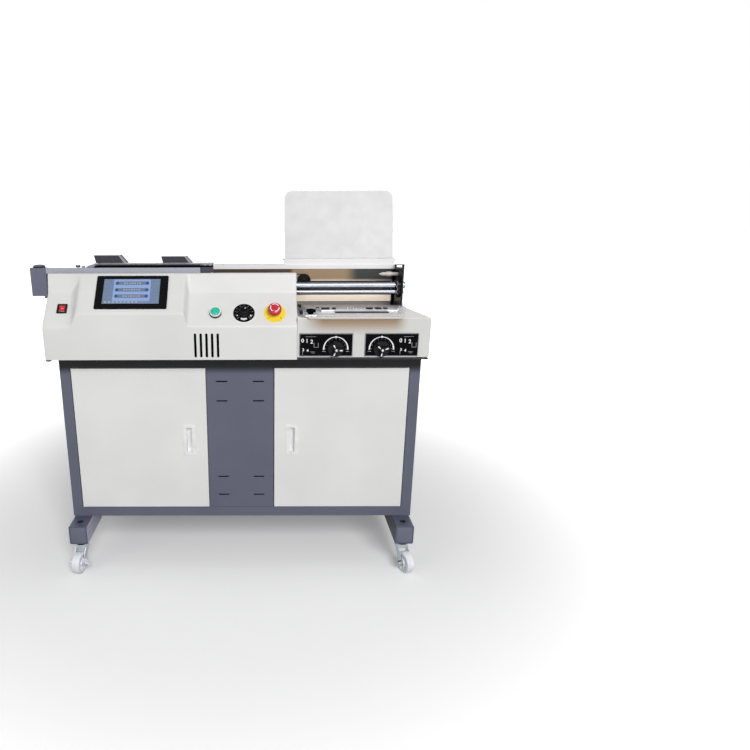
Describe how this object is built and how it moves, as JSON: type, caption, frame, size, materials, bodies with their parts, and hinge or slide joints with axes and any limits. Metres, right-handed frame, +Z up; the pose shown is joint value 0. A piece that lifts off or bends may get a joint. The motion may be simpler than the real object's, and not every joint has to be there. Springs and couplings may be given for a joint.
{
  "type": "perfect binding machine",
  "caption": "Perfect binding machine on castors: cupboard base, sloping control console, travelling clamp, milling and glue stations, cover station with nip table and raised lid.",
  "frame": {"origin": "on the floor under the middle of the machine's outline", "axes": "+Z up, +Y to the machine's rear, +X to the operator's right when facing the front"},
  "size_m": [1.1211, 0.5994, 1.1209],
  "materials": {
    "off_white": "satin powder coat",
    "grey_blue": "satin powder coat",
    "rail_grey": "satin paint",
    "dark_grey": "satin paint",
    "black_paint": "satin paint",
    "zinc": "zinc plated",
    "chrome": "polished",
    "plate_silver": "brushed",
    "black_plastic": "matt",
    "white_nylon": "smooth",
    "white_plastic": "smooth",
    "red_plastic": "glossy",
    "green_plastic": "glossy",
    "yellow_plastic": "satin",
    "screen_blue": "lit display",
    "steel": "machined",
    "cast_grey": "cast"
  },
  "bodies": {
    "machine": {"cabinet_frame": "grey_blue", "cabinet_panels": "grey_blue", "centre_panel": "grey_blue", "hinge_pins": "steel", "foot_tubes": "grey_blue", "foot_caps": "grey_blue", "castor_stems": "zinc", "base_pan": "dark_grey", "front_cover": "off_white", "station_box": "off_white", "rear_cover": "off_white", "inner_wall": "off_white", "top_beam": "off_white", "end_plate": "black_paint", "guide_rods": "chrome", "left_bracket": "rail_grey", "rail_bar": "rail_grey", "hmi_bezel": "black_plastic", "hmi_screen": "screen_blue", "rocker_housing": "black_plastic", "button_collar": "chrome", "speed_scale": "black_plastic", "estop_collar": "yellow_plastic", "dial_plates": "black_paint", "motors": "cast_grey", "glue_tank": "plate_silver", "power_inlet": "black_plastic"},
    "left_door": {"door_left": "off_white", "door_pull_left": "white_plastic"},
    "right_door": {"door_right": "off_white", "door_pull_right": "white_plastic"},
    "lid": {"lid": "off_white"},
    "carriage": {"clamp_carriage": "dark_grey", "book_supports": "dark_grey"},
    "jaw": {"clamp_jaw": "steel"},
    "rocker": {"rocker": "red_plastic"},
    "start_button": {"button_cap": "green_plastic"},
    "speed_knob": {"speed_knob": "black_plastic"},
    "stop_head": {"estop_head": "red_plastic"},
    "left_dial": {"dial_left": "black_plastic"},
    "right_dial": {"dial_right": "black_plastic"},
    "table": {"cover_table": "plate_silver"},
    "front_nip": {"nip_plate_front": "plate_silver"},
    "rear_nip": {"nip_plate_rear": "plate_silver"},
    "star_knob": {"star_knob": "black_plastic"},
    "cutter": {"milling_cutter": "steel"},
    "left_roller": {"glue_roller_left": "steel"},
    "right_roller": {"glue_roller_right": "steel"},
    "idler": {"idler_pulley": "black_plastic"},
    "driver": {"drive_pulley": "black_plastic"},
    "fork_front_left": {"castor_fork_front_left": "zinc"},
    "wheel_front_left": {"castor_wheel_front_left": "white_nylon"},
    "brake_front_left": {"brake_lever_front_left": "zinc"},
    "fork_front_right": {"castor_fork_front_right": "zinc"},
    "wheel_front_right": {"castor_wheel_front_right": "white_nylon"},
    "fork_rear_left": {"castor_fork_rear_left": "zinc"},
    "wheel_rear_left": {"castor_wheel_rear_left": "white_nylon"},
    "fork_rear_right": {"castor_fork_rear_right": "zinc"},
    "wheel_rear_right": {"castor_wheel_rear_right": "white_nylon"},
    "brake_rear_right": {"brake_lever_rear_right": "zinc"}
  },
  "joints": [
    {"name": "left_door_hinge", "type": "hinge", "parent": "machine", "child": "left_door", "pos_m": [-0.4518, -0.19479, 0.407], "axis": [0, 0, -1], "range_deg": [0, 100]},
    {"name": "right_door_hinge", "type": "hinge", "parent": "machine", "child": "right_door", "pos_m": [0.5182, -0.19479, 0.407], "axis": [0, 0, 1], "range_deg": [0, 100]},
    {"name": "lid_hinge", "type": "hinge", "parent": "machine", "child": "lid", "pos_m": [0.3412, 0.07021, 0.913], "axis": [-1, 0, 0], "range_deg": [-107, 0]},
    {"name": "carriage_travel", "type": "slide", "parent": "machine", "child": "carriage", "axis": [1, 0, 0], "range_m": [0, 0.54]},
    {"name": "jaw_closing", "type": "slide", "parent": "carriage", "child": "jaw", "axis": [0, 1, 0], "range_m": [0, 0.026]},
    {"name": "rocker_tilt", "type": "hinge", "parent": "machine", "child": "rocker", "pos_m": [-0.4573, -0.21373, 0.80201], "axis": [1, 0, 0], "range_deg": [-20, 0]},
    {"name": "button_press", "type": "slide", "parent": "machine", "child": "start_button", "axis": [0, -0.7342, 0.6789], "range_m": [-0.0032, 0], "stiffness_N_per_m": 400},
    {"name": "speed_knob_turn", "type": "hinge", "parent": "machine", "child": "speed_knob", "pos_m": [0.0481, -0.228, 0.79395], "axis": [0, -0.7342, 0.6789], "range_deg": [-135, 135]},
    {"name": "stop_press", "type": "slide", "parent": "machine", "child": "stop_head", "axis": [0, -0.7342, 0.6789], "range_m": [-0.005, 0]},
    {"name": "left_dial_turn", "type": "hinge", "parent": "machine", "child": "left_dial", "pos_m": [0.3012, -0.25699, 0.6995], "axis": [0, -1, 0], "range_deg": [-90, 90]},
    {"name": "right_dial_turn", "type": "hinge", "parent": "machine", "child": "right_dial", "pos_m": [0.4272, -0.25699, 0.6995], "axis": [0, -1, 0], "range_deg": [-90, 90]},
    {"name": "table_lift", "type": "slide", "parent": "machine", "child": "table", "axis": [0, 0, 1], "range_m": [0, 0.024]},
    {"name": "front_nip_close", "type": "slide", "parent": "table", "child": "front_nip", "axis": [0, 1, 0], "range_m": [0, 0.014]},
    {"name": "rear_nip_close", "type": "slide", "parent": "table", "child": "rear_nip", "axis": [0, -1, 0], "range_m": [0, 0.014]},
    {"name": "star_knob_turn", "type": "hinge", "parent": "table", "child": "star_knob", "pos_m": [0.2322, -0.23379, 0.798], "axis": [0, 0, 1], "range_deg": [-180, 0]},
    {"name": "cutter_spin", "type": "hinge", "parent": "machine", "child": "cutter", "pos_m": [0.0132, -0.12379, 0.808], "axis": [0, 0, 1], "continuous": true},
    {"name": "left_roller_spin", "type": "hinge", "parent": "machine", "child": "left_roller", "pos_m": [0.1242, -0.11179, 0.81], "axis": [0, 1, 0], "continuous": true},
    {"name": "right_roller_spin", "type": "hinge", "parent": "machine", "child": "right_roller", "pos_m": [0.1642, -0.11179, 0.81], "axis": [0, 1, 0], "continuous": true},
    {"name": "idler_spin", "type": "hinge", "parent": "machine", "child": "idler", "pos_m": [0.2272, 0.00221, 0.855], "axis": [0, 1, 0], "range_deg": [0, 1700]},
    {"name": "driver_spin", "type": "hinge", "parent": "machine", "child": "driver", "pos_m": [-0.4768, 0.00221, 0.855], "axis": [0, 1, 0], "range_deg": [0, 1700]},
    {"name": "swivel_front_left", "type": "hinge", "parent": "machine", "child": "fork_front_left", "pos_m": [-0.4578, -0.23679, 0.078], "axis": [0, 0, 1], "continuous": true},
    {"name": "roll_front_left", "type": "hinge", "parent": "fork_front_left", "child": "wheel_front_left", "pos_m": [-0.46301, -0.26633, 0.0325], "axis": [-0.9848, 0.1736, 0], "continuous": true},
    {"name": "brake_front_left", "type": "hinge", "parent": "fork_front_left", "child": "brake_front_left", "pos_m": [-0.46301, -0.26633, 0.0325], "axis": [-0.9848, 0.1736, 0], "range_deg": [0, 25]},
    {"name": "swivel_front_right", "type": "hinge", "parent": "machine", "child": "fork_front_right", "pos_m": [0.5242, -0.23679, 0.078], "axis": [0, 0, 1], "continuous": true},
    {"name": "roll_front_right", "type": "hinge", "parent": "fork_front_right", "child": "wheel_front_right", "pos_m": [0.53446, -0.26498, 0.0325], "axis": [-0.9397, -0.342, 0], "continuous": true},
    {"name": "swivel_rear_left", "type": "hinge", "parent": "machine", "child": "fork_rear_left", "pos_m": [-0.4578, 0.23721, 0.078], "axis": [0, 0, 1], "continuous": true},
    {"name": "roll_rear_left", "type": "hinge", "parent": "fork_rear_left", "child": "wheel_rear_left", "pos_m": [-0.4578, 0.26721, 0.0325], "axis": [1, 0, 0], "continuous": true},
    {"name": "swivel_rear_right", "type": "hinge", "parent": "machine", "child": "fork_rear_right", "pos_m": [0.5242, 0.23721, 0.078], "axis": [0, 0, 1], "continuous": true},
    {"name": "roll_rear_right", "type": "hinge", "parent": "fork_rear_right", "child": "wheel_rear_right", "pos_m": [0.5242, 0.26721, 0.0325], "axis": [1, 0, 0], "continuous": true},
    {"name": "brake_rear_right", "type": "hinge", "parent": "fork_rear_right", "child": "brake_rear_right", "pos_m": [0.5242, 0.26721, 0.0325], "axis": [1, 0, 0], "range_deg": [0, 25]}
  ],
  "couplings": [
    {"joint": "right_roller_spin", "follows": "left_roller_spin", "ratio": 1},
    {"joint": "rear_nip_close", "follows": "front_nip_close", "ratio": 1},
    {"joint": "idler_spin", "follows": "carriage_travel", "rad_per_m": 54.645},
    {"joint": "driver_spin", "follows": "carriage_travel", "rad_per_m": 54.645}
  ]
}
